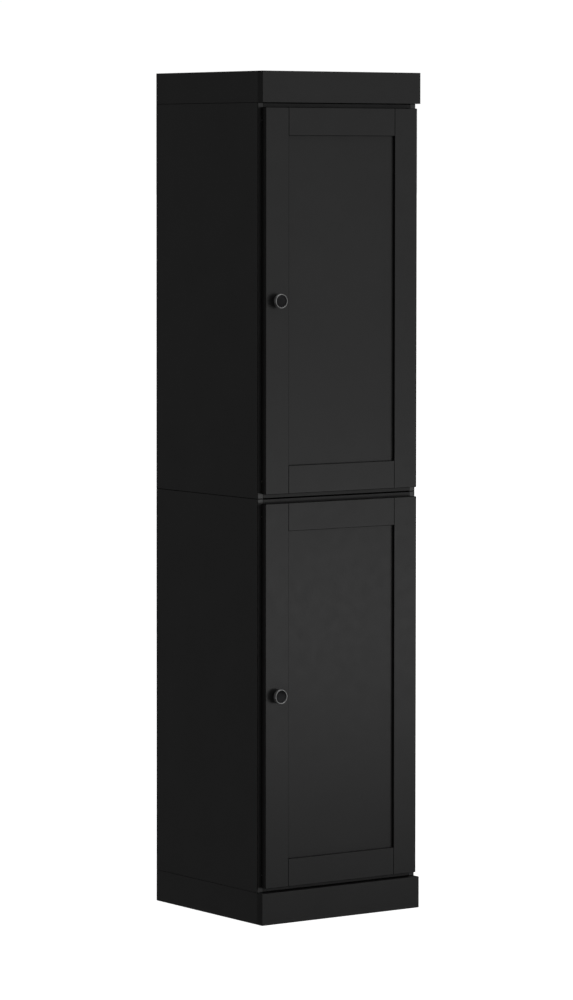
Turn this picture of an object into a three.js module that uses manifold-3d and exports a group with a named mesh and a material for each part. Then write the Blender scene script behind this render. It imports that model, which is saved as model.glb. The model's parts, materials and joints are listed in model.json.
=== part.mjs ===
// Pantry cabinet: two equal single-door modules stacked between a plinth and a cap.
//
// Millimetres, +Z up. X runs to the right and Y to the back of a person who faces the doors.
// The origin is under the middle of the cabinet, on the floor. Inside the cabinet group, y = 0
// is the plane of the carcass's front edges, which the doors and the fascia boards stand in front of.

import * as THREE from 'three';
import { mergeVertices } from 'three/addons/utils/BufferGeometryUtils.js';
import Module from 'manifold-3d';

const wasm = await Module();
wasm.setup();

// Carcass
const WIDTH = 454;
const CARCASS_DEPTH = 421;
const MODULE_HEIGHT = 915;
const PLINTH_HEIGHT = 74;
const CAP_HEIGHT = 73;
const BOARD = 16;
const FASCIA = 20;

// Back panel, held in a groove all round
const BACK_THICKNESS = 5;
const GROOVE_WIDTH = 5.5;
const GROOVE_DEPTH = 6;
const GROOVE_INSET = 10;
const GROOVE_CLEARANCE = 0.5;

// Adjustable shelves and the holes for their pins
const SHELF_CLEARANCE = 0.5;
const SHELF_SETBACK = 24;
const SHELF_SHARES = [1 / 3, 2 / 3];
const PIN_HOLE = { radius: 2.5, depth: 10, pitch: 32, rows: [-1, 0, 1], fromFront: 61, fromBack: 77 };
const PIN_DROP = 2.5;

// Doors: a frame of stiles and rails with a flat panel in a rebate behind
const DOOR_THICKNESS = 16;
const DOOR_GAP = 3.5;
const SIDE_REVEAL = 9.5;
const END_REVEAL = 11;
const STILE = 65;
const RAIL = 65;
const PANEL_THICKNESS = 9.5;
const REBATE = 8;
const PANEL_CLEARANCE = 0.5;

// Knobs
const KNOB_FROM_EDGE = STILE / 2;
const KNOB_PROJECTION = 18;
const KNOB_RADIUS = 17;
const SCREW_RADIUS = 2;
const SCREW_HOLE_RADIUS = 2.5;
const SCREW_REACH = 9;
const SCREW_HEAD = { radius: 4.5, height: 2.5 };

// Concealed hinges: a cup in the stile, a pin, a hooked arm and a plate on the side panel
const HINGE_FROM_END = 104;
const CUP = { radius: 17.5, wall: 0.75, depth: 12.5, fromEdge: 3 };
const CUP_BORE_CLEARANCE = 0.25;
const FLANGE = { radius: 19, thickness: 1, wingLength: 58, wingWidth: 12, wingOffset: 9.5, holeSpan: 46 };
const PIVOT = { fromEdge: 8, behindFront: 7.2 };
const PIN_RADIUS = 1.2;
const PIN_HALF_LENGTH = 10.7;
const EYE = { radius: 2.55, bore: 1.5 };
const ARM = { halfThickness: 1.25, reach: 13.5, halfWidth: 5.5, bodyFrom: 6, bodyTo: 66 };
const PLATE = { base: 2, height: 8, wingY: 37, wingWidth: 20, wingHalf: 26 };
const PLATE_RAIL = { from: 18, to: 62, half: 7 };

// Small parts
const BUMPER = { radius: 3, height: 3, inset: 3.25, fromEnd: 30 };
const LEG = { inset: 60, plateRadius: 26, stemRadius: 15, footRadius: 22 };
const BOLT = { radius: 3, headRadius: 7, headHeight: 2.5, hole: 3.5, y: 60 };
const BRACKET = { width: 64, thickness: 2, height: 46, hole: 4 };

// Places that follow from the dimensions
const halfWidth = WIDTH / 2;
const innerHalf = halfWidth - BOARD;
const doorHalf = halfWidth - SIDE_REVEAL;
const doorHeight = MODULE_HEIGHT - 2 * END_REVEAL;
const doorBack = -DOOR_GAP;
const doorFront = doorBack - DOOR_THICKNESS;
const knobFront = doorFront - KNOB_PROJECTION;
const pivotX = doorHalf - PIVOT.fromEdge;
const pivotY = doorFront + PIVOT.behindFront;
const cupX = doorHalf - CUP.fromEdge - CUP.radius;
const grooveBack = CARCASS_DEPTH - GROOVE_INSET;
const grooveFront = grooveBack - GROOVE_WIDTH;

// Finishes
const finish = (name, color, roughness, metalness) =>
  new THREE.MeshStandardMaterial({ name, color, roughness, metalness });
const lacquer = finish('black_satin_lacquer', 0x1b1b1c, 0.38, 0);
const doorPanelFinish = finish('black_satin_panel', 0x19191a, 0.42, 0);
const interior = finish('black_melamine', 0x1f1f20, 0.55, 0);
const backing = finish('black_hardboard', 0x232323, 0.7, 0);
const knobMetal = finish('black_metal', 0x202022, 0.35, 0.6);
const steel = finish('nickel_steel', 0xb4b4b0, 0.3, 1);
const rubber = finish('clear_rubber', 0xc8c8c4, 0.5, 0);
const plastic = finish('black_plastic', 0x151515, 0.6, 0);

// Solids

function solidOf(geometry) {
  const bare = geometry.clone();
  bare.deleteAttribute('normal');
  bare.deleteAttribute('uv');
  const merged = mergeVertices(bare);
  return new wasm.Manifold(new wasm.Mesh({
    numProp: 3,
    vertProperties: new Float32Array(merged.attributes.position.array),
    triVerts: new Uint32Array(merged.index.array),
  }));
}

function geometryOf(solid) {
  const mesh = solid.getMesh();
  const geometry = new THREE.BufferGeometry();
  geometry.setAttribute('position', new THREE.BufferAttribute(mesh.vertProperties, 3));
  geometry.setIndex(new THREE.BufferAttribute(mesh.triVerts, 1));
  geometry.computeVertexNormals();
  return geometry;
}

// A box from its two ends along each axis.
function box([x0, x1], [y0, y1], [z0, z1]) {
  const geometry = new THREE.BoxGeometry(x1 - x0, y1 - y0, z1 - z0);
  return geometry.translate((x0 + x1) / 2, (y0 + y1) / 2, (z0 + z1) / 2);
}

// A cylinder about a line through (x, y, z), which runs along the named axis from start to end.
function rod(axis, [x, y, z], start, end, radius, sides) {
  const geometry = new THREE.CylinderGeometry(radius, radius, end - start, sides);
  const middle = (start + end) / 2;
  if (axis === 'x') geometry.rotateZ(-Math.PI / 2).translate(middle, y, z);
  if (axis === 'y') geometry.translate(x, middle, z);
  if (axis === 'z') geometry.rotateX(Math.PI / 2).translate(x, y, middle);
  return geometry;
}

function cut(geometry, tools) {
  return geometryOf(tools.reduce((solid, tool) => solid.subtract(solidOf(tool)), solidOf(geometry)));
}

function joined(geometries) {
  return geometries.map(solidOf).reduce((whole, piece) => whole.add(piece));
}

// A body of revolution about Z from [radius, height] points that start and end on the axis.
function turned(points, sides) {
  const profile = points.map(([radius, height]) => new THREE.Vector2(radius, height));
  return new THREE.LatheGeometry(profile, sides).rotateX(Math.PI / 2);
}

function add(parent, name, geometry, material) {
  const mesh = new THREE.Mesh(geometry, material);
  mesh.name = name;
  parent.add(mesh);
  return mesh;
}

// Carcass modules

const shelfHeights = SHELF_SHARES.map(
  (share) => Math.round(BOARD + (MODULE_HEIGHT - 2 * BOARD) * share - BOARD / 2),
);
const pinColumns = [PIN_HOLE.fromFront, CARCASS_DEPTH - PIN_HOLE.fromBack];

// The side panel on side s (-1 left, 1 right), with its back groove and three pin holes for
// each corner of each shelf.
function sidePanel(s) {
  const inner = s * innerHalf;
  const across = (from, to) => [from, to].sort((a, b) => a - b);
  const panel = box(across(inner, s * halfWidth), [0, CARCASS_DEPTH], [0, MODULE_HEIGHT]);
  const groove = box(
    across(inner - s, inner + s * GROOVE_DEPTH), [grooveFront, grooveBack], [-1, MODULE_HEIGHT + 1],
  );
  const holes = shelfHeights.flatMap((shelf) =>
    PIN_HOLE.rows.flatMap((row) => {
      const z = shelf - PIN_DROP + row * PIN_HOLE.pitch;
      const ends = across(inner - s, inner + s * PIN_HOLE.depth);
      return pinColumns.map((y) => rod('x', [0, y, z], ...ends, PIN_HOLE.radius, 10));
    }),
  );
  return cut(panel, [groove, ...holes]);
}

// The panel across the top or bottom: z is its lower face, and the groove is in the face that
// looks into the module (inward 1 is up, -1 is down).
function endPanel(z, inward, boltHoles) {
  const panel = box([-innerHalf, innerHalf], [0, CARCASS_DEPTH], [z, z + BOARD]);
  const face = inward > 0 ? z + BOARD : z;
  const depths = [face - inward * GROOVE_DEPTH, face + inward].sort((a, b) => a - b);
  const groove = box([-innerHalf - 1, innerHalf + 1], [grooveFront, grooveBack], depths);
  const holes = boltHoles.map(([x, y]) => rod('z', [x, y, 0], z - 1, z + BOARD + 1, BOLT.hole, 16));
  return cut(panel, [groove, ...holes]);
}

function backPanel() {
  const half = innerHalf + GROOVE_DEPTH - GROOVE_CLEARANCE;
  const low = BOARD - GROOVE_DEPTH + GROOVE_CLEARANCE;
  return box([-half, half], [grooveFront, grooveFront + BACK_THICKNESS], [low, MODULE_HEIGHT - low]);
}

function shelf(z) {
  const half = innerHalf - SHELF_CLEARANCE;
  return box([-half, half], [SHELF_SETBACK, grooveFront - SHELF_CLEARANCE], [z, z + BOARD]);
}

const boltPlaces = [[-innerHalf / 2, BOLT.y], [innerHalf / 2, BOLT.y]];

function addModule(parent, name, topHoles, bottomHoles) {
  add(parent, `${name}_side_left`, sidePanel(-1), lacquer);
  add(parent, `${name}_side_right`, sidePanel(1), lacquer);
  add(parent, `${name}_top_panel`, endPanel(MODULE_HEIGHT - BOARD, -1, topHoles), interior);
  add(parent, `${name}_bottom_panel`, endPanel(0, 1, bottomHoles), interior);
  add(parent, `${name}_back_panel`, backPanel(), backing);
  shelfHeights.forEach((z, i) => add(parent, `${name}_shelf_${i + 1}`, shelf(z), interior));
}

// Doors. A door's own group has z = 0 at the door's bottom edge.

const hingeHeights = [HINGE_FROM_END, doorHeight - HINGE_FROM_END];
const rebateFront = doorBack - PANEL_THICKNESS;

function stile(s, tools) {
  const xs = [s * doorHalf, s * (doorHalf - STILE)].sort((a, b) => a - b);
  const inner = s * (doorHalf - STILE);
  const rebateXs = [inner - s, inner + s * REBATE].sort((a, b) => a - b);
  const rebateZs = [RAIL - REBATE, doorHeight - RAIL + REBATE];
  const rebate = box(rebateXs, [rebateFront, doorBack + 1], rebateZs);
  return cut(box(xs, [doorFront, doorBack], [0, doorHeight]), [rebate, ...tools]);
}

function rail(z, inward) {
  const half = doorHalf - STILE;
  const edge = inward > 0 ? z + RAIL : z;
  const zs = [edge - inward * REBATE, edge + inward].sort((a, b) => a - b);
  const rebate = box([-half - 1, half + 1], [rebateFront, doorBack + 1], zs);
  return cut(box([-half, half], [doorFront, doorBack], [z, z + RAIL]), [rebate]);
}

function doorPanel() {
  const half = doorHalf - STILE + REBATE - PANEL_CLEARANCE;
  const low = RAIL - REBATE + PANEL_CLEARANCE;
  return box([-half, half], [rebateFront, doorBack], [low, doorHeight - low]);
}

// The knob's height is measured from the door's face. Its front is dished inside a thin rim.
function knob(x, z) {
  const profile = [
    [0, 0], [9, 0], [9, 1.5], [6.5, 3], [5.6, 4.5], [6.2, 6.5], [9.5, 8.6], [14.5, 9.8],
    [KNOB_RADIUS, 10.6], [KNOB_RADIUS, 17], [16, KNOB_PROJECTION], [14.4, KNOB_PROJECTION],
    [13.4, 16.6], [9, 15.8], [0, 15.4],
  ];
  const body = turned(profile, 28).rotateX(Math.PI / 2).translate(x, doorFront, z);
  const bore = rod('y', [x, 0, z], doorFront - SCREW_REACH - 1, doorFront + 1, SCREW_HOLE_RADIUS, 12);
  return cut(body, [bore]);
}

function knobScrew(x, z) {
  const length = DOOR_THICKNESS + SCREW_REACH;
  const profile = [
    [0, -SCREW_HEAD.height], [SCREW_HEAD.radius * 0.7, -SCREW_HEAD.height], [SCREW_HEAD.radius, -1],
    [SCREW_HEAD.radius, 0], [SCREW_RADIUS, 0], [SCREW_RADIUS, length], [0, length],
  ];
  return turned(profile, 12).rotateX(Math.PI / 2).translate(x, doorBack, z);
}

function bumper(z) {
  const profile = [
    [0, 0], [BUMPER.radius, 0], [BUMPER.radius, 1.5], [BUMPER.radius * 0.7, 2.6], [0, BUMPER.height],
  ];
  return turned(profile, 12).rotateX(-Math.PI / 2).translate(BUMPER.inset - doorHalf, doorBack, z);
}

// Hinges

function cupBore(z) {
  const depth = CUP.depth + CUP_BORE_CLEARANCE;
  return rod('y', [cupX, 0, z], doorBack - depth, doorBack + 1, CUP.radius + CUP_BORE_CLEARANCE, 28);
}

// The cup has a flange with two screw wings on the door's back, and carries the hinge pin.
function hingeCup(z) {
  const mouth = doorBack + FLANGE.thickness;
  const wingX = cupX - FLANGE.wingOffset;
  const wingXs = [wingX - FLANGE.wingWidth / 2, wingX + FLANGE.wingWidth / 2];
  const halfWing = FLANGE.wingLength / 2;
  const shell = joined([
    rod('y', [cupX, 0, z], doorBack - CUP.depth, doorBack, CUP.radius, 28),
    rod('y', [cupX, 0, z], doorBack, mouth, FLANGE.radius, 28),
    box(wingXs, [doorBack, mouth], [z - halfWing, z + halfWing]),
  ]);
  const floor = doorBack - CUP.depth + CUP.wall;
  const cavity = rod('y', [cupX, 0, z], floor, mouth + 1, CUP.radius - CUP.wall, 28);
  const screwHoles = [-1, 1].map((s) =>
    rod('y', [wingX, 0, z + (s * FLANGE.holeSpan) / 2], doorBack - 1, mouth + 1, 1.8, 10));
  const hollow = [cavity, ...screwHoles].reduce((solid, tool) => solid.subtract(solidOf(tool)), shell);
  const pin = rod('z', [pivotX, pivotY, 0], z - PIN_HALF_LENGTH, z + PIN_HALF_LENGTH, PIN_RADIUS, 10);
  return geometryOf(hollow.add(solidOf(pin)));
}

// The arm is one hooked strip: an eye on the pin, a leg across the cup, a knee, and a leg that
// runs straight back out of the cup to the body beside the mounting plate.
function hingeArm(z) {
  const half = ARM.halfThickness;
  const bodyRight = innerHalf - PLATE.height - pivotX;
  const kneeLeft = -ARM.reach - half;
  const kneeRight = -ARM.reach + half;
  const eyeAngle = Math.asin(half / EYE.radius);
  const eyeX = EYE.radius * Math.cos(eyeAngle);
  const outline = new THREE.Shape([
    new THREE.Vector2(-eyeX, half),
    new THREE.Vector2(kneeRight, half),
    new THREE.Vector2(kneeRight, ARM.bodyFrom - pivotY),
    new THREE.Vector2(bodyRight, ARM.bodyFrom - pivotY),
    new THREE.Vector2(bodyRight, ARM.bodyTo - pivotY),
    new THREE.Vector2(kneeLeft, ARM.bodyTo - pivotY),
    new THREE.Vector2(kneeLeft, -half),
    new THREE.Vector2(-eyeX, -half),
  ]);
  outline.absarc(0, 0, EYE.radius, Math.PI + eyeAngle, 3 * Math.PI - eyeAngle, false);
  outline.holes.push(new THREE.Path().absarc(0, 0, EYE.bore, 0, 2 * Math.PI, true));
  const options = { depth: 2 * ARM.halfWidth, bevelEnabled: false, curveSegments: 8 };
  return new THREE.ExtrudeGeometry(outline, options).translate(pivotX, pivotY, z - ARM.halfWidth);
}

function mountingPlate(z) {
  const face = innerHalf - PLATE.base;
  const wingYs = [PLATE.wingY - PLATE.wingWidth / 2, PLATE.wingY + PLATE.wingWidth / 2];
  return geometryOf(joined([
    box([face, innerHalf], wingYs, [z - PLATE.wingHalf, z + PLATE.wingHalf]),
    box([innerHalf - PLATE.height, innerHalf], [PLATE_RAIL.from, PLATE_RAIL.to],
      [z - PLATE_RAIL.half, z + PLATE_RAIL.half]),
  ]));
}

function addDoor(parent, name) {
  const knobX = KNOB_FROM_EDGE - doorHalf;
  const knobZ = doorHeight / 2;
  const screwHole = rod('y', [knobX, 0, knobZ], doorFront - 1, doorBack + 1, SCREW_HOLE_RADIUS, 12);
  add(parent, `${name}_stile_left`, stile(-1, [screwHole]), lacquer);
  add(parent, `${name}_stile_right`, stile(1, hingeHeights.map(cupBore)), lacquer);
  add(parent, `${name}_rail_top`, rail(doorHeight - RAIL, -1), lacquer);
  add(parent, `${name}_rail_bottom`, rail(0, 1), lacquer);
  add(parent, `${name}_panel`, doorPanel(), doorPanelFinish);
  add(parent, `${name}_knob`, knob(knobX, knobZ), knobMetal);
  add(parent, `${name}_knob_screw`, knobScrew(knobX, knobZ), steel);
  ['lower', 'upper'].forEach((place, i) => {
    const z = hingeHeights[i];
    add(parent, `${name}_hinge_cup_${place}`, hingeCup(z), steel);
    add(parent, `${name}_hinge_arm_${place}`, hingeArm(z), steel);
    add(parent, `${name}_hinge_plate_${place}`, mountingPlate(z), steel);
    const end = i === 0 ? BUMPER.fromEnd : doorHeight - BUMPER.fromEnd;
    add(parent, `${name}_bumper_${place}`, bumper(end), rubber);
  });
}

// Plinth and cap: a fascia in front of two side boards, with a rail between them at the back

function addFrame(parent, name, height, railBack) {
  add(parent, `${name}_front`, box([-halfWidth, halfWidth], [-FASCIA, 0], [0, height]), lacquer);
  for (const [side, s] of [['left', -1], ['right', 1]]) {
    const xs = [s * innerHalf, s * halfWidth].sort((a, b) => a - b);
    add(parent, `${name}_side_${side}`, box(xs, [0, CARCASS_DEPTH], [0, height]), lacquer);
  }
  const railYs = [railBack - BOARD, railBack];
  add(parent, `${name}_back`, box([-innerHalf, innerHalf], railYs, [0, height]), lacquer);
}

// A screw leg under the lower module, hidden inside the plinth: its plate is against the bottom
// panel, and its foot is on the floor.
function leg(x, y) {
  const top = PLINTH_HEIGHT;
  const profile = [
    [0, 0], [LEG.footRadius - 1, 0], [LEG.footRadius, 1.5], [LEG.footRadius - 2, 5], [8, 8], [5, 9],
    [5, 26], [LEG.stemRadius, 26], [LEG.stemRadius + 2, top - 6], [LEG.plateRadius, top - 4],
    [LEG.plateRadius, top], [0, top],
  ];
  return turned(profile, 20).translate(x, y, 0);
}

// The bolt has a low round head at each end and holds the lower module's top to the upper one's bottom.
function moduleBolt([x, y]) {
  const { radius, headRadius, headHeight } = BOLT;
  const profile = [
    [0, -BOARD - headHeight], [headRadius - 1.5, -BOARD - headHeight], [headRadius, -BOARD - 1],
    [headRadius, -BOARD], [radius, -BOARD], [radius, BOARD], [headRadius, BOARD],
    [headRadius, BOARD + 1], [headRadius - 1.5, BOARD + headHeight], [0, BOARD + headHeight],
  ];
  return turned(profile, 16).translate(x, y, 0);
}

// The wall bracket is a flat plate on the cap's back rail, with a hole for the wall strap.
function wallBracket() {
  const half = BRACKET.width / 2;
  const middle = CAP_HEIGHT / 2;
  const back = CARCASS_DEPTH;
  const plate = box([-half, half], [back - BRACKET.thickness, back],
    [middle - BRACKET.height / 2, middle + BRACKET.height / 2]);
  const holes = [-1, 0, 1].map((i) =>
    rod('y', [(i * half) / 1.6, 0, middle], back - BRACKET.thickness - 1, back + 1, BRACKET.hole, 14));
  return cut(plate, holes);
}

// Assembly

const cabinet = new THREE.Group();
cabinet.position.y = -(CARCASS_DEPTH + knobFront) / 2;

const plinth = new THREE.Group();
addFrame(plinth, 'plinth', PLINTH_HEIGHT, CARCASS_DEPTH);
for (const [side, s] of [['left', -1], ['right', 1]]) {
  const x = s * (halfWidth - LEG.inset);
  add(plinth, `leg_front_${side}`, leg(x, LEG.inset), plastic);
  add(plinth, `leg_back_${side}`, leg(x, CARCASS_DEPTH - LEG.inset), plastic);
}

const lowerModule = new THREE.Group();
lowerModule.position.z = PLINTH_HEIGHT;
addModule(lowerModule, 'lower', boltPlaces, []);

const upperModule = new THREE.Group();
upperModule.position.z = PLINTH_HEIGHT + MODULE_HEIGHT;
addModule(upperModule, 'upper', [], boltPlaces);
boltPlaces.forEach((place, i) => {
  add(upperModule, `module_bolt_${['left', 'right'][i]}`, moduleBolt(place), steel);
});

for (const [module, name] of [[lowerModule, 'lower_door'], [upperModule, 'upper_door']]) {
  const door = new THREE.Group();
  door.position.z = END_REVEAL;
  addDoor(door, name);
  module.add(door);
}

const cap = new THREE.Group();
cap.position.z = PLINTH_HEIGHT + 2 * MODULE_HEIGHT;
addFrame(cap, 'cap', CAP_HEIGHT, CARCASS_DEPTH - BRACKET.thickness);
add(cap, 'cap_top', box([-innerHalf, innerHalf], [0, CARCASS_DEPTH - BRACKET.thickness - BOARD],
  [CAP_HEIGHT - BOARD, CAP_HEIGHT]), lacquer);
add(cap, 'wall_bracket', wallBracket(), steel);

cabinet.add(plinth, lowerModule, upperModule, cap);

export default cabinet;
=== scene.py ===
# Pantry cabinet: camera, light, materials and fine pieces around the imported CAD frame. Metres.
import json
import math
from itertools import product

import bmesh
import bpy
from mathutils import Matrix, Vector


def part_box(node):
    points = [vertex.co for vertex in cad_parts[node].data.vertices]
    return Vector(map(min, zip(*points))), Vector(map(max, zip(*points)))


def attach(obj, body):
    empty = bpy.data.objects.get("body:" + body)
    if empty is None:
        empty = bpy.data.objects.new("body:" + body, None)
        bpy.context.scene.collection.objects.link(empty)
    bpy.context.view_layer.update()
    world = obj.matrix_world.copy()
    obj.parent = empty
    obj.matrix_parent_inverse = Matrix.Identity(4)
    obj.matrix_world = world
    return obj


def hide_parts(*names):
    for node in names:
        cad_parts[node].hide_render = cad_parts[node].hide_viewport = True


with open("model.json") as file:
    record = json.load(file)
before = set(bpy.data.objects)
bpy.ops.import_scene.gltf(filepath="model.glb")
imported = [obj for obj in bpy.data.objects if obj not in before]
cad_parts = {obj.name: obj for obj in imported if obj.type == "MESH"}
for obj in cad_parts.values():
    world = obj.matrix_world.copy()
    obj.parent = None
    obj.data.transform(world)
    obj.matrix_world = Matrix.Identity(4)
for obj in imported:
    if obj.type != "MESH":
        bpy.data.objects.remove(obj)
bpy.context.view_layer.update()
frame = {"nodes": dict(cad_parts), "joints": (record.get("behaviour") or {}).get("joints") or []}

MM = 0.001
NODES = frame["nodes"]
scene = bpy.context.scene
scene.view_settings.view_transform = "Standard"

# Camera: far off to the left of the front, near the height of the upper door's top
CAMERA_PLACE = (-6.1228, -8.6138, 1.7649)
CAMERA_YAW = math.radians(35.365)
CAMERA_PITCH = math.radians(2.4005)
CAMERA_ROLL = math.radians(0.049)
CAMERA_LENS = 160.66
CAMERA_SHIFT = -0.15

# Strip lamps: place, the y they aim at, size, and (height, radiance of the face) from the floor up
STRIP_PLACE = (1.9, -3.75)
STRIP_AIM = -0.2
STRIP_SIZE = (3.6, 0.6)
STRIPS = ((-0.3, 0.27), (0.3, 1.32), (0.9, 0.28), (1.5, 0.49), (2.1, 0.37), (2.7, 0.21), (3.3, 0.1))
OVERHEAD = {"place": (0, -0.5, 4.5), "size": (3, 3), "radiance": 1.0}

# Room: what the camera sees, what lights diffusely, and what reflects. The reflected part dims to a
# share of itself as a ray's direction goes down, between the two heights given.
BACKDROP = 1.02
FILL = 0.6
REFLECTED_ROOM = 0.078
DIMMING = {"none_above": -0.15, "full_below": -0.6, "share_left": 0.1}
FLOOR = {"half_side": 200, "tone": 0.8, "glow": 0.75}

# Edge radii
LACQUER_EDGE = 0.8 * MM
SIDE_EDGE = 0.75 * MM
END_EDGE = 1.8 * MM
DOOR_EDGE = 0.8 * MM
BOARD_EDGE = 0.4 * MM
METAL_EDGE = 0.3 * MM

# Edge bands: how far they stand proud, and how far they stop short of the board's edges
BAND = 0.2 * MM
BAND_SIDE = 1.3 * MM
BAND_END = 1.8 * MM

# How CAD boards are cleaned and rounded
WELD_DISTANCE = 1e-5
FLAT_WITHIN = math.radians(1)
ROUND_OVER = math.radians(50)

# Hardware, in millimetres. Turned shapes are (radius, height, corner radius) points, and a screw's head
# and shaft are each (radius, length).
KNOB_BODY = (
    (0, 0, 0), (9, 0, 0.2), (9, 1.4, 0.5), (6.4, 2.2, 1.2), (5.5, 4.4, 2), (7.4, 7.4, 2),
    (14.0, 9.4, 1.5), (16.6, 10.4, 0.4), (16.6, 16.5, 0.2), (14.4, 16.5, 0.2), (13.6, 15.7, 1),
    (8, 15.1, 3), (0, 14.8, 0),
)
KNOB_RING = (
    (14.2, 16.1, 0), (14.2, 17.1, 0.4), (14.9, 18, 0.5), (16.2, 18, 0.7), (17, 17.1, 0.5),
    (17, 10.6, 0.4), (16.2, 10.1, 0.2), (15.4, 10.1, 0), (15.4, 16.1, 0), (14.2, 16.1, 0),
)
KNOB_SCREW = {"head": (4.5, 2.5), "shaft": (2, 25)}
DOME = ((0, 0, 0), (3, 0, 0.1), (3, 1.3, 0.6), (2.1, 2.8, 0.9), (0, 3, 0))
CUP = {"radius": 17.5, "flange": 19, "depth": 12.5, "wall": 0.75, "lip": 1.0}
WING = {"offset": 9.5, "width": 12, "length": 58, "holes": 46}
PIN = {"radius": 1.2, "half": 10.7}
SPRING = {"radius": 1.75, "wire": 0.35, "turns": 3, "start": 5.9, "length": 2.3}
ARM = {"half": 1.25, "reach": 13.5, "width": 11, "eye": 2.55, "bore": 1.5, "front": 6}
ARM_SCREWS = ({"along": 10, "head": (2.8, 1.0)}, {"along": 46, "head": (3.8, 1.0)})
PLATE = {"base": 2, "holes": 32, "holes_forward": 3}
WING_SCREW, PLATE_SCREW, BRACKET_SCREW = (3.6, 1.5), (4, 1.6), (3.9, 1.5)
BOLT = {"radius": 3, "head_radius": 7, "head_height": 2.5}
BRACKET = {"holes": 40, "sunk": 1.7}
BATTEN = {"side": 16, "clearance": 0.05}
SHELF_PIN = {"radius": 2.3, "inside": 9, "out": 8, "drop": 2.5, "columns": (61, 344)}
CAM = {"radius": 7.5, "height": 0.6, "from_side": 34, "columns": (45, 345)}

X, Y, Z = Vector((1, 0, 0)), Vector((0, 1, 0)), Vector((0, 0, 1))


# Camera, world, floor and lights


def make_camera():
    data = bpy.data.cameras.new("camera")
    data.lens = CAMERA_LENS
    data.shift_y = CAMERA_SHIFT
    data.clip_end = 500
    camera = bpy.data.objects.new("camera", data)
    scene.collection.objects.link(camera)
    turn = Matrix.Rotation(-CAMERA_YAW, 4, "Z")
    tip = Matrix.Rotation(math.pi / 2 - CAMERA_PITCH, 4, "X")
    roll = Matrix.Rotation(CAMERA_ROLL, 4, "Z")
    camera.matrix_world = Matrix.Translation(CAMERA_PLACE) @ turn @ tip @ roll
    scene.camera = camera


def background(tree, strength):
    node = tree.nodes.new("ShaderNodeBackground")
    node.inputs["Color"].default_value = (1, 1, 1, 1)
    node.inputs["Strength"].default_value = strength
    return node


def make_world():
    """White behind the object, an even fill, and a dim room in reflections, darker low down."""
    world = bpy.data.worlds.new("room")
    world.use_nodes = True
    scene.world = world
    tree = world.node_tree
    tree.nodes.clear()
    output = tree.nodes.new("ShaderNodeOutputWorld")
    path = tree.nodes.new("ShaderNodeLightPath")
    backdrop = background(tree, BACKDROP)
    fill = background(tree, FILL)
    reflected = background(tree, REFLECTED_ROOM)
    way = tree.nodes.new("ShaderNodeTexCoord")
    parts = tree.nodes.new("ShaderNodeSeparateXYZ")
    dimming = tree.nodes.new("ShaderNodeMapRange")
    dimming.inputs["From Min"].default_value = DIMMING["full_below"]
    dimming.inputs["From Max"].default_value = DIMMING["none_above"]
    dimming.inputs["To Min"].default_value = REFLECTED_ROOM * DIMMING["share_left"]
    dimming.inputs["To Max"].default_value = REFLECTED_ROOM
    tree.links.new(way.outputs["Generated"], parts.inputs[0])
    tree.links.new(parts.outputs["Z"], dimming.inputs["Value"])
    tree.links.new(dimming.outputs["Result"], reflected.inputs["Strength"])
    by_gloss = tree.nodes.new("ShaderNodeMixShader")
    by_camera = tree.nodes.new("ShaderNodeMixShader")
    tree.links.new(path.outputs["Is Glossy Ray"], by_gloss.inputs[0])
    tree.links.new(fill.outputs[0], by_gloss.inputs[1])
    tree.links.new(reflected.outputs[0], by_gloss.inputs[2])
    tree.links.new(path.outputs["Is Camera Ray"], by_camera.inputs[0])
    tree.links.new(by_gloss.outputs[0], by_camera.inputs[1])
    tree.links.new(backdrop.outputs[0], by_camera.inputs[2])
    tree.links.new(by_camera.outputs[0], output.inputs["Surface"])


def make_floor():
    """A pale floor that glows white like the backdrop and throws nothing back on the object."""
    mesh = bpy.data.meshes.new("floor")
    far = FLOOR["half_side"]
    corners = [(-far, -far, 0), (far, -far, 0), (far, far, 0), (-far, far, 0)]
    mesh.from_pydata(corners, [], [(0, 1, 2, 3)])
    floor = bpy.data.objects.new("floor", mesh)
    scene.collection.objects.link(floor)
    material = bpy.data.materials.new("pale_floor")
    material.use_nodes = True
    shader = material.node_tree.nodes["Principled BSDF"]
    shader.inputs["Base Color"].default_value = (*grey(FLOOR["tone"]), 1)
    shader.inputs["Roughness"].default_value = 1
    shader.inputs["Specular IOR Level"].default_value = 0
    shader.inputs["Emission Color"].default_value = (1, 1, 1, 1)
    shader.inputs["Emission Strength"].default_value = FLOOR["glow"]
    mesh.materials.append(material)
    floor.visible_glossy = False
    floor.visible_diffuse = False
    floor.visible_shadow = False


def softbox(name, place, target, size, radiance):
    """A rectangular lamp at place that faces target, with the brightness of its face."""
    data = bpy.data.lights.new(name, "AREA")
    data.shape = "RECTANGLE"
    data.size, data.size_y = size
    data.energy = radiance * math.pi * size[0] * size[1]
    lamp = bpy.data.objects.new(name, data)
    scene.collection.objects.link(lamp)
    away = Vector(place) - Vector(target)
    lamp.matrix_world = Matrix.Translation(place) @ away.to_track_quat("Z", "Y").to_matrix().to_4x4()
    lamp.visible_camera = False


def make_lights():
    """A column of strip lamps that the front mirrors towards the camera, and one lamp overhead."""
    for i, (height, radiance) in enumerate(STRIPS):
        place = (STRIP_PLACE[0], STRIP_PLACE[1], height)
        softbox(f"strip_{i + 1}", place, (0, STRIP_AIM, height), STRIP_SIZE, radiance)
    softbox("overhead", OVERHEAD["place"], (0, 0, 0), OVERHEAD["size"], OVERHEAD["radiance"])


# Materials


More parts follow.
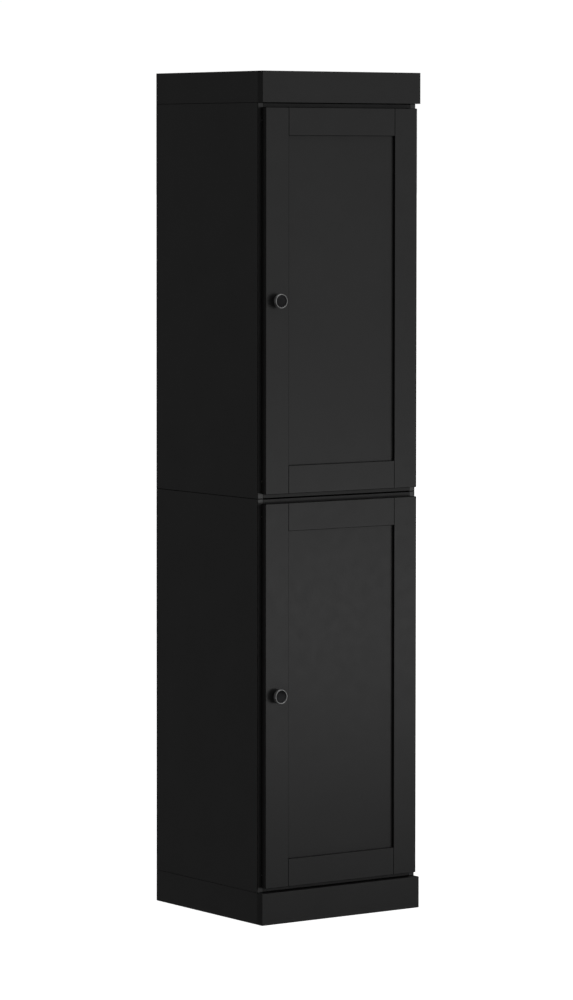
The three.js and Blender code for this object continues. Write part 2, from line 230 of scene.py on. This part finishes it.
def new_material(name, color, roughness, metallic=0.0, specular=0.5):
    material = bpy.data.materials.new(name)
    material.use_nodes = True
    shader = material.node_tree.nodes["Principled BSDF"]
    shader.inputs["Base Color"].default_value = (*color, 1)
    shader.inputs["Roughness"].default_value = roughness
    shader.inputs["Metallic"].default_value = metallic
    shader.inputs["Specular IOR Level"].default_value = specular
    return material


def noise(tree, scale, detail=3.0, stretch=(1, 1, 1)):
    """Noise in the object's own space, with scale in waves per metre."""
    place = tree.nodes.new("ShaderNodeTexCoord")
    mapping = tree.nodes.new("ShaderNodeMapping")
    mapping.inputs["Scale"].default_value = stretch
    texture = tree.nodes.new("ShaderNodeTexNoise")
    texture.inputs["Scale"].default_value = scale
    texture.inputs["Detail"].default_value = detail
    tree.links.new(place.outputs["Object"], mapping.inputs["Vector"])
    tree.links.new(mapping.outputs["Vector"], texture.inputs["Vector"])
    return texture.outputs["Fac"]


def vary_color(material, source, low, high):
    """The base colour runs from low to high with source."""
    tree = material.node_tree
    ramp = tree.nodes.new("ShaderNodeValToRGB")
    ramp.color_ramp.elements[0].position = 0.3
    ramp.color_ramp.elements[0].color = (*low, 1)
    ramp.color_ramp.elements[1].position = 0.7
    ramp.color_ramp.elements[1].color = (*high, 1)
    tree.links.new(source, ramp.inputs["Fac"])
    tree.links.new(ramp.outputs["Color"], tree.nodes["Principled BSDF"].inputs["Base Color"])


def vary_roughness(material, source, low, high):
    tree = material.node_tree
    spread = tree.nodes.new("ShaderNodeMapRange")
    spread.inputs["From Min"].default_value = 0.3
    spread.inputs["From Max"].default_value = 0.7
    spread.inputs["To Min"].default_value = low
    spread.inputs["To Max"].default_value = high
    tree.links.new(source, spread.inputs["Value"])
    tree.links.new(spread.outputs["Result"], tree.nodes["Principled BSDF"].inputs["Roughness"])


def add_bump(material, *layers):
    """Bump from (source, height in metres) layers, each on top of the one before."""
    tree = material.node_tree
    normal = None
    for source, height in layers:
        bump = tree.nodes.new("ShaderNodeBump")
        bump.inputs["Strength"].default_value = 1.0
        bump.inputs["Distance"].default_value = height
        tree.links.new(source, bump.inputs["Height"])
        if normal:
            tree.links.new(normal, bump.inputs["Normal"])
        normal = bump.outputs["Normal"]
    tree.links.new(normal, tree.nodes["Principled BSDF"].inputs["Normal"])


def grey(value):
    return (value, value, value)


def painted_side_shade_mask(tree):
    """1 on the faces that look along the object's own X, 0 elsewhere: where the lacquer's painted side
    shade goes.
    """
    place = tree.nodes.new("ShaderNodeTexCoord")
    parts = tree.nodes.new("ShaderNodeSeparateXYZ")
    size = tree.nodes.new("ShaderNodeMath")
    size.operation = "ABSOLUTE"
    chosen = tree.nodes.new("ShaderNodeMath")
    chosen.operation = "GREATER_THAN"
    chosen.inputs[1].default_value = 0.8
    tree.links.new(place.outputs["Normal"], parts.inputs[0])
    tree.links.new(parts.outputs["X"], size.inputs[0])
    tree.links.new(size.outputs[0], chosen.inputs[0])
    return chosen.outputs[0]


def lacquer(name, tone, roughness, painted_side_shade=None, specular=0.5):
    """Sprayed satin lacquer, a little cloudy, with orange peel; the side tone, if given, is painted
    shade: a darker base colour on sideways faces.
    """
    material = new_material(name, grey(tone), roughness, specular=specular)
    tree = material.node_tree
    cloud = noise(tree, 9, 4)
    vary_color(material, cloud, grey(tone * 0.93), grey(tone * 1.07))
    vary_roughness(material, noise(tree, 35, 5), roughness - 0.02, roughness + 0.02)
    add_bump(material, (noise(tree, 260, 2), 6e-6), (noise(tree, 1500, 2), 1.5e-6))
    # Painted shade: sideways faces get the darker side tone as their base colour.
    if painted_side_shade is not None:
        shader = tree.nodes["Principled BSDF"]
        mix = tree.nodes.new("ShaderNodeMix")
        mix.data_type = "RGBA"
        tree.links.new(painted_side_shade_mask(tree), mix.inputs["Factor"])
        tree.links.new(shader.inputs["Base Color"].links[0].from_socket, mix.inputs["A"])
        mix.inputs["B"].default_value = (*grey(painted_side_shade), 1)
        tree.links.new(mix.outputs["Result"], shader.inputs["Base Color"])
    return material


def melamine(name, tone, roughness):
    """Paper-faced board with a fine pearl texture."""
    material = new_material(name, grey(tone), roughness)
    tree = material.node_tree
    vary_color(material, noise(tree, 60, 6), grey(tone * 0.85), grey(tone * 1.15))
    vary_roughness(material, noise(tree, 400, 3), roughness - 0.05, roughness + 0.05)
    add_bump(material, (noise(tree, 900, 4), 2e-5))
    return material


def hardboard(name, tone, specular=0.5):
    """Pressed fibre with short strands."""
    material = new_material(name, grey(tone), 0.75, specular=specular)
    tree = material.node_tree
    strands = noise(tree, 420, 6, stretch=(1, 1, 0.3))
    vary_color(material, strands, grey(tone * 0.88), grey(tone * 1.12))
    vary_roughness(material, noise(tree, 120, 5), 0.65, 0.85)
    add_bump(material, (strands, 1.2e-5))
    return material


def metal(name, color, roughness, brush=(1, 1, 1), brush_height=3e-6):
    """Plated or painted metal with fine marks drawn out along one way."""
    material = new_material(name, color, roughness, metallic=1.0)
    tree = material.node_tree
    marks = noise(tree, 1800, 4, stretch=brush)
    dark, bright = [c * 0.88 for c in color], [min(1, c * 1.08) for c in color]
    vary_color(material, noise(tree, 150, 3), dark, bright)
    vary_roughness(material, marks, roughness - 0.05, roughness + 0.07)
    add_bump(material, (marks, brush_height))
    return material


def moulded(name, tone, roughness, transmission=0.0):
    """Moulded plastic or rubber with a light spark texture."""
    material = new_material(name, grey(tone), roughness)
    tree = material.node_tree
    tree.nodes["Principled BSDF"].inputs["Transmission Weight"].default_value = transmission
    vary_color(material, noise(tree, 200, 3), grey(tone * 0.9), grey(tone * 1.1))
    add_bump(material, (noise(tree, 2500, 2), 1e-5))
    return material


# Mesh forms


def rounded(points, steps=4):
    """The outline through (x, y, radius) corners, each turned by an arc of its own radius."""
    outline = []
    for i, (x, y, radius) in enumerate(points):
        corner = Vector((x, y))
        if not radius:
            outline.append(corner)
            continue
        before = (Vector(points[i - 1][:2]) - corner).normalized()
        after = (Vector(points[(i + 1) % len(points)][:2]) - corner).normalized()
        half = before.angle(after) / 2
        centre = corner + (before + after).normalized() * (radius / math.sin(half))
        start = corner + before * (radius / math.tan(half)) - centre
        end = corner + after * (radius / math.tan(half)) - centre
        sweep = start.angle_signed(end)
        for step in range(steps + 1):
            outline.append(centre + Matrix.Rotation(-sweep * step / steps, 2) @ start)
    return outline


def lathe(profile, segments=48):
    """A surface of revolution about Z from (radius, height) points."""
    form = bmesh.new()
    rings = []
    for radius, height in profile:
        count = segments if radius > 1e-7 else 1
        turns = [2 * math.pi * i / count for i in range(count)]
        ring = [(radius * math.cos(a), radius * math.sin(a), height) for a in turns]
        rings.append([form.verts.new(place) for place in ring])
    for low, high in zip(rings, rings[1:]):
        for i in range(segments):
            below = [low[k % len(low)] for k in (i, i + 1)]
            above = [high[k % len(high)] for k in (i + 1, i)]
            face = list(dict.fromkeys(below + above))
            if len(face) > 2:
                form.faces.new(face)
    bmesh.ops.recalc_face_normals(form, faces=form.faces)
    return form


def turned(corners, segments=48, steps=4):
    """A lathe form from (radius, height, corner radius) points in millimetres."""
    return lathe([point * MM for point in rounded(corners, steps)], segments)


def block(low, high, edge=0.0):
    """A box between two corners, with rounded edges."""
    form = bmesh.new()
    bmesh.ops.create_cube(form, size=1)
    low, high = Vector(low), Vector(high)
    bmesh.ops.scale(form, vec=high - low, verts=form.verts)
    bmesh.ops.translate(form, vec=(low + high) / 2, verts=form.verts)
    if edge:
        bmesh.ops.bevel(form, geom=form.edges[:], offset=edge, segments=2, profile=0.5,
                        affect="EDGES")
    return form


def extruded(outline, low, high, edge=0.0):
    """A prism of an (x, y) outline between two heights, with rounded rims."""
    form = bmesh.new()
    base = form.faces.new([form.verts.new((x, y, low)) for x, y in outline])
    lifted = bmesh.ops.extrude_face_region(form, geom=[base])
    top = [item for item in lifted["geom"] if isinstance(item, bmesh.types.BMVert)]
    bmesh.ops.translate(form, vec=(0, 0, high - low), verts=top)
    bmesh.ops.recalc_face_normals(form, faces=form.faces)
    if edge:
        rims = [e for e in form.edges if abs(e.verts[0].co.z - e.verts[1].co.z) < 1e-7]
        bmesh.ops.bevel(form, geom=rims, offset=edge, segments=2, profile=0.5, affect="EDGES")
    return form


def tube(points, radius, sides=10):
    """A round wire along points, closed at both ends."""
    form = bmesh.new()
    rings = []
    for i, point in enumerate(points):
        along = (points[min(i + 1, len(points) - 1)] - points[max(i - 1, 0)]).normalized()
        across = along.cross(X if abs(along.dot(X)) < 0.9 else Z).normalized()
        other = along.cross(across)
        turns = [2 * math.pi * k / sides for k in range(sides)]
        rings.append([form.verts.new(point + radius * (math.cos(a) * across + math.sin(a) * other))
                      for a in turns])
    for low, high in zip(rings, rings[1:]):
        for k in range(sides):
            form.faces.new([low[k], low[(k + 1) % sides], high[(k + 1) % sides], high[k]])
    form.faces.new(rings[0])
    form.faces.new(rings[-1])
    bmesh.ops.recalc_face_normals(form, faces=form.faces)
    return form


def moved(form, place, axis=Z):
    """form with its own Z turned to axis, and its origin moved to place."""
    form.transform(Matrix.Translation(place) @ Z.rotation_difference(axis).to_matrix().to_4x4())
    return form


def as_object(form, name):
    mesh = bpy.data.meshes.new(name)
    form.to_mesh(mesh)
    form.free()
    made = bpy.data.objects.new(name, mesh)
    scene.collection.objects.link(made)
    return made


def combined(form, other, operation):
    """form with the other form's volume added (UNION) or taken out (DIFFERENCE)."""
    solid, tool = as_object(form, "solid"), as_object(other, "tool")
    change = solid.modifiers.new("change", "BOOLEAN")
    change.operation = operation
    change.solver = "EXACT"
    change.object = tool
    evaluated = solid.evaluated_get(bpy.context.evaluated_depsgraph_get())
    result = bmesh.new()
    result.from_mesh(evaluated.to_mesh())
    evaluated.to_mesh_clear()
    for leftover in (solid, tool):
        mesh = leftover.data
        bpy.data.objects.remove(leftover)
        bpy.data.meshes.remove(mesh)
    return result


def piece(name, forms, material, body, replaces=(), crease=35):
    """One object from several closed forms, riding on a CAD body."""
    whole = bmesh.new()
    for form in forms:
        part = bpy.data.meshes.new("part")
        form.to_mesh(part)
        form.free()
        whole.from_mesh(part)
        bpy.data.meshes.remove(part)
    made = as_object(whole, name)
    made.data.materials.append(material)
    made.data.shade_smooth()
    made.data.set_sharp_from_angle(angle=math.radians(crease))
    normals = made.modifiers.new("normals", "WEIGHTED_NORMAL")
    normals.keep_sharp = True
    normals.weight = 100
    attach(made, body)
    if replaces:
        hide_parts(*replaces)
    return made


# CAD boards that stay


def dress(name, material, edge, arris=None):
    """Gives a CAD node its material, and rounds its edges; arris, if given, is a dark material on the
    rounded faces that paints the shade in the joints.
    """
    node = NODES[name]
    for slot in node.material_slots:
        slot.material = material
    weld = node.modifiers.new("weld", "WELD")
    weld.merge_threshold = WELD_DISTANCE
    flat = node.modifiers.new("flat", "DECIMATE")
    flat.decimate_type = "DISSOLVE"
    flat.angle_limit = FLAT_WITHIN
    bevel = node.modifiers.new("edges", "BEVEL")
    bevel.width = edge
    bevel.segments = 2
    bevel.limit_method = "ANGLE"
    bevel.angle_limit = ROUND_OVER
    bevel.use_clamp_overlap = False
    # Painted shade: the bevel faces take the dark arris material, standing in for the shade in the
    # joints.
    if arris:
        node.data.materials.append(arris)
        bevel.material = len(node.material_slots) - 1
    normals = node.modifiers.new("normals", "WEIGHTED_NORMAL")
    normals.keep_sharp = False
    normals.weight = 100


# Hardware pieces


def cross_recess(width, reach, depth):
    """The cutter for a cross slot whose mouth is at z = 0."""
    across = block((-reach, -width / 2, -depth), (reach, width / 2, depth))
    upright = block((-width / 2, -reach, -depth), (width / 2, reach, depth))
    return combined(across, upright, "UNION")


def screw_head(radius, height):
    """A pan head in metres, standing on z = 0, with a cross recess."""
    r, h = radius / MM, height / MM
    profile = [(0, 0, 0), (r, 0, 0), (r, h * 0.5, h * 0.25), (r * 0.55, h, r * 0.3), (0, h, 0)]
    head = turned(profile, 32)
    recess = moved(cross_recess(radius * 0.26, radius * 0.62, height * 0.6), (0, 0, height))
    return combined(head, recess, "DIFFERENCE")


def screw(name, place, axis, head, body, replaces=(), shaft=None):
    """A cross-head screw with its head on place and, if given, a shaft behind it."""
    radius, height = head
    forms = [screw_head(radius * MM, height * MM)]
    if shaft:
        r, length = shaft
        forms.append(turned([(0, -length, 0), (r, -length, 0.3), (r, 0.1, 0), (0, 0.1, 0)], 24))
    forms = [moved(form, place, axis) for form in forms]
    return piece(name, forms, nickel, body, replaces)


def middle(name):
    low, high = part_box(name)
    return (low + high) / 2


def make_knob(door):
    """A dished black face and stem inside a brighter turned ring."""
    node = f"{door}_knob"
    centre = middle(node)
    centre.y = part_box(node)[1].y
    body = moved(turned(KNOB_BODY, 96, 6), centre, -Y)
    piece(f"{node}_body", [body], knob_black, door, [node], 50)
    ring = moved(turned(KNOB_RING, 96, 5), centre, -Y)
    piece(f"{node}_ring", [ring], knob_bright, door, (), 50)
    under_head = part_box(f"{node}_screw")[1].y - KNOB_SCREW["head"][1] * MM
    screw(f"{node}_screw_fine", Vector((centre.x, under_head, centre.z)), Y, KNOB_SCREW["head"], door,
          [f"{node}_screw"], KNOB_SCREW["shaft"])


def wing_tab(side):
    """One screw wing of a hinge cup's flange, in the cup's own frame."""
    rim = CUP["radius"] + 0.3
    left = -WING["offset"] - WING["width"] / 2
    right = -WING["offset"] + WING["width"] / 2
    end = WING["length"] / 2
    first, last = math.acos(left / rim), math.acos(right / rim)
    inner = [Vector((rim * math.cos(a), rim * math.sin(a)))
             for a in [first + (last - first) * i / 8 for i in range(9)]]
    outer = rounded([(right, end, 5), (left, end, 5), (left, rim * math.sin(first), 0),
                     (right, rim * math.sin(last), 0)], 6)[:-2]
    outline = [Vector((p.x, p.y * side)) * MM for p in inner + outer]
    return extruded(outline, 0.02 * MM, CUP["lip"] * 0.9 * MM, 0.15 * MM)


def coil(pivot, side):
    """One half of the closing spring, wound round the pin above (1) or below (-1) the arm's eye."""
    steps = SPRING["turns"] * 16
    points = []
    for i in range(steps + 1):
        turn = 2 * math.pi * i / 16
        along = side * (SPRING["start"] + SPRING["length"] * i / steps)
        place = (SPRING["radius"] * math.cos(turn), SPRING["radius"] * math.sin(turn), along)
        points.append(pivot + Vector(place) * MM)
    return tube(points, SPRING["wire"] * MM, 8)


def make_cup(door, place):
    """The cup pressed into the stile, its wings and screws, the hinge pin and the spring round it."""
    node = f"{door}_hinge_cup_{place}"
    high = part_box(node)[1]
    centre = Vector((high.x - CUP["flange"] * MM, high.y - CUP["lip"] * MM, middle(node).z))
    outer, inner = CUP["radius"], CUP["radius"] - CUP["wall"]
    rim, lip = CUP["flange"], CUP["lip"]
    under, bottom = -CUP["depth"], CUP["wall"] - CUP["depth"]
    shell = turned([
        (0, under, 0), (outer, under, 2), (outer, 0, 0), (rim, 0, 0), (rim, lip, 0.4),
        (inner, lip, 0.4), (inner, bottom, 1.6), (0, bottom, 0),
    ], 72, 5)
    forms = [moved(form, centre, Y) for form in (shell, wing_tab(1), wing_tab(-1))]
    pivot = pivots[door].copy()
    pivot.z = centre.z
    r, half = PIN["radius"], PIN["half"]
    rod = turned([(0, -half, 0), (r, -half, 0.2), (r, half, 0.2), (0, half, 0)], 20)
    forms.append(moved(rod, pivot))
    piece(f"{node}_fine", forms, nickel, door, [node])
    coils = [coil(pivot, side) for side in (-1, 1)]
    piece(f"{node}_spring", coils, spring_steel, door, (), 60)
    for i, side in enumerate((-1, 1)):
        spot = centre + Vector((-WING["offset"], CUP["lip"], side * WING["holes"] / 2)) * MM
        screw(f"{node}_screw_{i + 1}", spot, Y, WING_SCREW, door)


def make_arm(door, place):
    """The hooked arm, with the two screws that set the door's place."""
    node = f"{door}_hinge_arm_{place}"
    low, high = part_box(node)
    pivot = pivots[door].copy()
    pivot.z = middle(node).z
    half, reach = ARM["half"], ARM["reach"]
    right = (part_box(f"{door}_hinge_plate_{place}")[0].x - pivot.x) / MM
    front = (carcass_front - pivot.y) / MM + ARM["front"]
    back = (high.y - pivot.y) / MM
    eye_radius = ARM["eye"]
    alpha = math.asin(half / eye_radius)
    stub = eye_radius * math.cos(alpha)
    strip = rounded([
        (-stub, half, 0), (half - reach, half, 1.0), (half - reach, front, 0.5),
        (right, front, 1.0), (right, back, 2.5), (-reach - half, back, 1.0),
        (-reach - half, -half, 3.0), (-stub, -half, 0),
    ], 6)
    turns = [math.pi + alpha + (2 * math.pi - 2 * alpha) * i / 24 for i in range(1, 24)]
    eye = [Vector((eye_radius * math.cos(a), eye_radius * math.sin(a))) for a in turns]
    depth = ARM["width"] / 2 * MM
    arm = extruded([point * MM for point in strip + eye], -depth, depth, 0.3 * MM)
    bore = turned([(0, -9, 0), (ARM["bore"], -9, 0), (ARM["bore"], 9, 0), (0, 9, 0)], 24)
    arm = moved(combined(arm, bore, "DIFFERENCE"), pivot)
    piece(f"{node}_fine", [arm], nickel, "carcass", [node])
    for i, one in enumerate(ARM_SCREWS):
        spot = Vector((low.x, carcass_front + (ARM["front"] + one["along"]) * MM, pivot.z))
        screw(f"{node}_screw_{i + 1}", spot, -X, one["head"], "carcass")


def make_plate_screws(door, place):
    node = f"{door}_hinge_plate_{place}"
    centre = middle(node)
    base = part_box(node)[1].x - PLATE["base"] * MM
    for i, side in enumerate((-1, 1)):
        up = side * PLATE["holes"] / 2 * MM
        spot = Vector((base, centre.y - PLATE["holes_forward"] * MM, centre.z + up))
        screw(f"{node}_screw_{i + 1}", spot, -X, PLATE_SCREW, "carcass")


def make_bumper(door, place):
    node = f"{door}_bumper_{place}"
    centre = middle(node)
    centre.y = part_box(node)[0].y
    dome = moved(turned(DOME, 32, 5), centre, Y)
    piece(f"{node}_fine", [dome], rubber, door, [node])


def make_leg(name):
    """A screw leg: foot, threaded stem, sleeve and mounting plate."""
    low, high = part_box(name)
    foot = middle(name)
    foot.z = low.z
    threads = [(radius, 10 + 2 * i + up, 0) for i in range(7) for radius, up in ((5, 0), (5.8, 1))]
    top = (high.z - low.z) / MM
    leg = turned([
        (0, 0, 0), (21, 0, 0.8), (22, 1.5, 0.6), (20, 5, 2), (9, 8, 2), (5, 9, 0.5), *threads,
        (5, 25.5, 0), (15, 26, 0.8), (17, top - 6, 2), (26, top - 4, 0.6), (26, top, 0.2),
        (0, top, 0),
    ], 64)
    piece(f"{name}_fine", [moved(leg, foot)], plastic, "carcass", [name])


def make_bolt(name):
    """A module joining bolt, with a cross head at each end."""
    low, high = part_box(name)
    r, thick = BOLT["radius"], BOLT["head_height"] * MM
    top, bottom = middle(name), middle(name)
    top.z, bottom.z = high.z - thick, low.z + thick
    length = (top.z - bottom.z) / MM
    rod = turned([(0, 0, 0), (r, 0, 0), (r, length, 0), (0, length, 0)], 24)
    heads = [moved(screw_head(BOLT["head_radius"] * MM, thick), place, way)
             for place, way in ((top, Z), (bottom, -Z))]
    forms = [*heads, moved(rod, bottom)]
    piece(f"{name}_fine", forms, nickel, "carcass", [name])


def make_bracket_screws():
    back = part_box("wall_bracket")[1].y
    centre = middle("wall_bracket")
    for i, side in enumerate((-1, 1)):
        across = centre.x + side * BRACKET["holes"] / 2 * MM
        spot = Vector((across, back - BRACKET["sunk"] * MM, centre.z))
        screw(f"wall_bracket_screw_{i + 1}", spot, Y, BRACKET_SCREW, "carcass")


def make_batten():
    """The batten behind the plinth's front, under the lower module."""
    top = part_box("lower_bottom_panel")[0].z
    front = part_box("plinth_front")[1].y
    side, gap = BATTEN["side"] * MM, BATTEN["clearance"] * MM
    low = (-innermost, front + gap, top - side)
    high = (innermost, front + side, top - gap)
    piece("plinth_batten", [block(low, high, BOARD_EDGE)], inside, "carcass")


def make_band(node, finish, side, end):
    """A thin band on a board's front edge, short of it by side across X and end along Z."""
    low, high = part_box(node)
    first = (low.x + side, low.y - BAND, low.z + end)
    last = (high.x - side, low.y + BAND / 4, high.z - end)
    band = block(first, last, BAND / 2)
    piece(f"{node}_edge_band", [band], finish, "carcass")


def make_shelf_pins(module, shelf):
    node = f"{module}_shelf_{shelf}"
    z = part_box(node)[0].z - SHELF_PIN["drop"] * MM
    r, buried, out = SHELF_PIN["radius"], SHELF_PIN["inside"], SHELF_PIN["out"]
    for i, (side, column) in enumerate(product((-1, 1), SHELF_PIN["columns"])):
        pin = turned([(0, -buried, 0), (r, -buried, 0.4), (r, out, 0.8), (0, out, 0)], 28)
        spot = Vector((side * innermost, carcass_front + column * MM, z))
        pin = moved(pin, spot, -side * X)
        piece(f"{node}_pin_{i + 1}", [pin], nickel, "carcass")


def make_cams(module):
    """The caps of the cam fittings under the module's top panel."""
    node = f"{module}_top_panel"
    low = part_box(node)[0]
    for i, (side, column) in enumerate(product((-1, 1), CAM["columns"])):
        across = side * (innermost - CAM["from_side"] * MM)
        spot = Vector((across, carcass_front + column * MM, low.z))
        cap = moved(screw_head(CAM["radius"] * MM, CAM["height"] * MM), spot, -Z)
        piece(f"{node}_cam_{i + 1}", [cap], plastic, "carcass")


# Scene

make_camera()
make_world()
make_floor()
make_lights()

satin = lacquer("cabinet_lacquer", 0.0085, 0.33)
panel_satin = lacquer("door_panel_lacquer", 0.0085, 0.33)
# Painted shade: the sideways faces of door frames and fascias are darker in colour, standing in for
# their shade.
front_satin_painted_side_shade = lacquer("front_lacquer_painted_side_shade", 0.0085, 0.33, painted_side_shade=0.002)
band_finish = lacquer("edge_band", 0.0085, 0.30, specular=0.82)
# Painted shade: the bands on the top and bottom panels are a little darker than the other lacquer,
# standing in for their shade in the reveals by the doors and cap.
end_band_painted_shade = lacquer("end_band_painted_shade", 0.0078, 0.36, specular=0.42)
# Painted shade: near-black bevel faces on boards and door frames that paint the shade in the joints and
# grooves between them.
painted_joint_shade = hardboard("painted_joint_shade", 0.0015, specular=0.05)
inside = melamine("interior_melamine", 0.013, 0.5)
backing = hardboard("back_hardboard", 0.014)
knob_black = metal("knob_black", (0.03, 0.03, 0.031), 0.38)
knob_bright = metal("knob_ring", (0.46, 0.46, 0.46), 0.42)
nickel = metal("nickel", (0.62, 0.61, 0.58), 0.28, brush=(1, 1, 0.1))
spring_steel = metal("spring_steel", (0.3, 0.29, 0.28), 0.35)
rubber = moulded("clear_rubber", 0.6, 0.35, transmission=1.0)
plastic = moulded("black_plastic", 0.012, 0.55)

# Which finish, edge and, if any, dark bevel material painting joint shade a CAD board gets, by the
# first of these endings that its name has
BOARDS = (
    ("_knob", None), ("_knob_screw", None), ("_bumper_lower", None), ("_bumper_upper", None),
    ("wall_bracket", (nickel, METAL_EDGE)), ("door_panel", (panel_satin, BOARD_EDGE)),
    ("_back_panel", (backing, BOARD_EDGE)), ("_top_panel", (inside, END_EDGE, painted_joint_shade)),
    ("_bottom_panel", (inside, END_EDGE, painted_joint_shade)), ("cap_front", (front_satin_painted_side_shade, LACQUER_EDGE)),
    ("plinth_front", (front_satin_painted_side_shade, LACQUER_EDGE)), ("cap_side_left", (satin, LACQUER_EDGE)),
    ("cap_side_right", (satin, LACQUER_EDGE)), ("plinth_side_left", (satin, LACQUER_EDGE)),
    ("plinth_side_right", (satin, LACQUER_EDGE)), ("_side_left", (satin, SIDE_EDGE, painted_joint_shade)),
    ("_side_right", (satin, SIDE_EDGE, painted_joint_shade)), ("_shelf_1", (inside, BOARD_EDGE)),
    ("_shelf_2", (inside, BOARD_EDGE)),
)


def dress_boards():
    for name in NODES:
        if "_hinge_plate_" in name:
            dress(name, nickel, METAL_EDGE)
        elif "_hinge_" in name or name.startswith(("leg_", "module_bolt")):
            continue
        elif "_stile_" in name or "_rail_" in name:
            dress(name, front_satin_painted_side_shade, DOOR_EDGE, painted_joint_shade)
        else:
            rules = (rule for ending, rule in BOARDS if name.endswith(ending))
            finish = next(rules, (satin, LACQUER_EDGE))
            if finish:
                dress(name, *finish)


carcass_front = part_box("lower_side_right")[0].y
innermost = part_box("lower_side_right")[0].x
pivots = {joint["child"]: Vector(joint["pos_m"]) for joint in frame["joints"]}

dress_boards()
for door in ("lower_door", "upper_door"):
    make_knob(door)
    for place in ("lower", "upper"):
        make_cup(door, place)
        make_arm(door, place)
        make_plate_screws(door, place)
        make_bumper(door, place)
for module in ("lower", "upper"):
    for side in ("left", "right"):
        make_band(f"{module}_side_{side}", band_finish, BAND_SIDE, BAND_END)
    for end in ("top", "bottom"):
        make_band(f"{module}_{end}_panel", end_band_painted_shade, 0, BAND_END)
    for shelf in (1, 2):
        make_band(f"{module}_shelf_{shelf}", satin, BOARD_EDGE, BOARD_EDGE)
        make_shelf_pins(module, shelf)
    make_cams(module)
for name in NODES:
    if name.startswith("leg_"):
        make_leg(name)
    elif name.startswith("module_bolt"):
        make_bolt(name)
make_bracket_screws()
make_batten()
